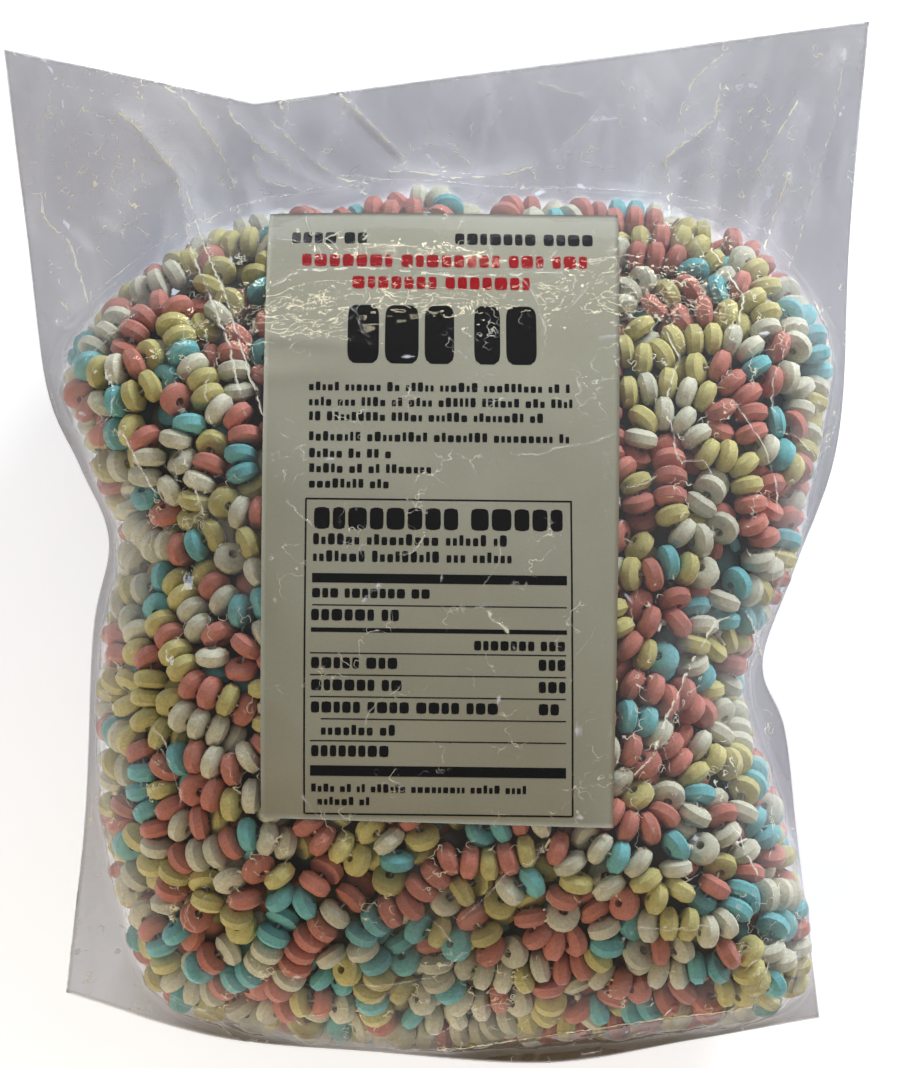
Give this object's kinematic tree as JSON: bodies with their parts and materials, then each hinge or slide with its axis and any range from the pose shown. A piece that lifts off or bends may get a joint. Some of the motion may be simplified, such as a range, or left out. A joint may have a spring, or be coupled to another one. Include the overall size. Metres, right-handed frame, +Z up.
{
  "type": "bag of candy necklaces",
  "caption": "Clear pillow bag packed with necklaces of pastel pressed-sugar beads on elastic, a paper label sheet under the film, lying on its back with its empty film end flat.",
  "frame": {"origin": "on the table, under the middle of the bag's outline", "axes": "+X to the bag's right as its label is read, +Y along the bag to its empty top end, +Z up, out of the label"},
  "size_m": [0.279, 0.3322, 0.0956],
  "materials": {
    "pressed_sugar": "matte, powdery",
    "label_paper": "satin coated",
    "sugar_coral": "matte, powdery",
    "sugar_yellow": "matte, powdery",
    "sugar_white": "matte, powdery",
    "sugar_turquoise": "matte, powdery",
    "elastic": "matte",
    "clear_film": "clear, glossy, creased",
    "black_ink": "printed, satin",
    "red_ink": "printed, satin"
  },
  "bodies": {
    "root": {"bag": "pressed_sugar", "label": "label_paper"}
  },
  "joints": []
}
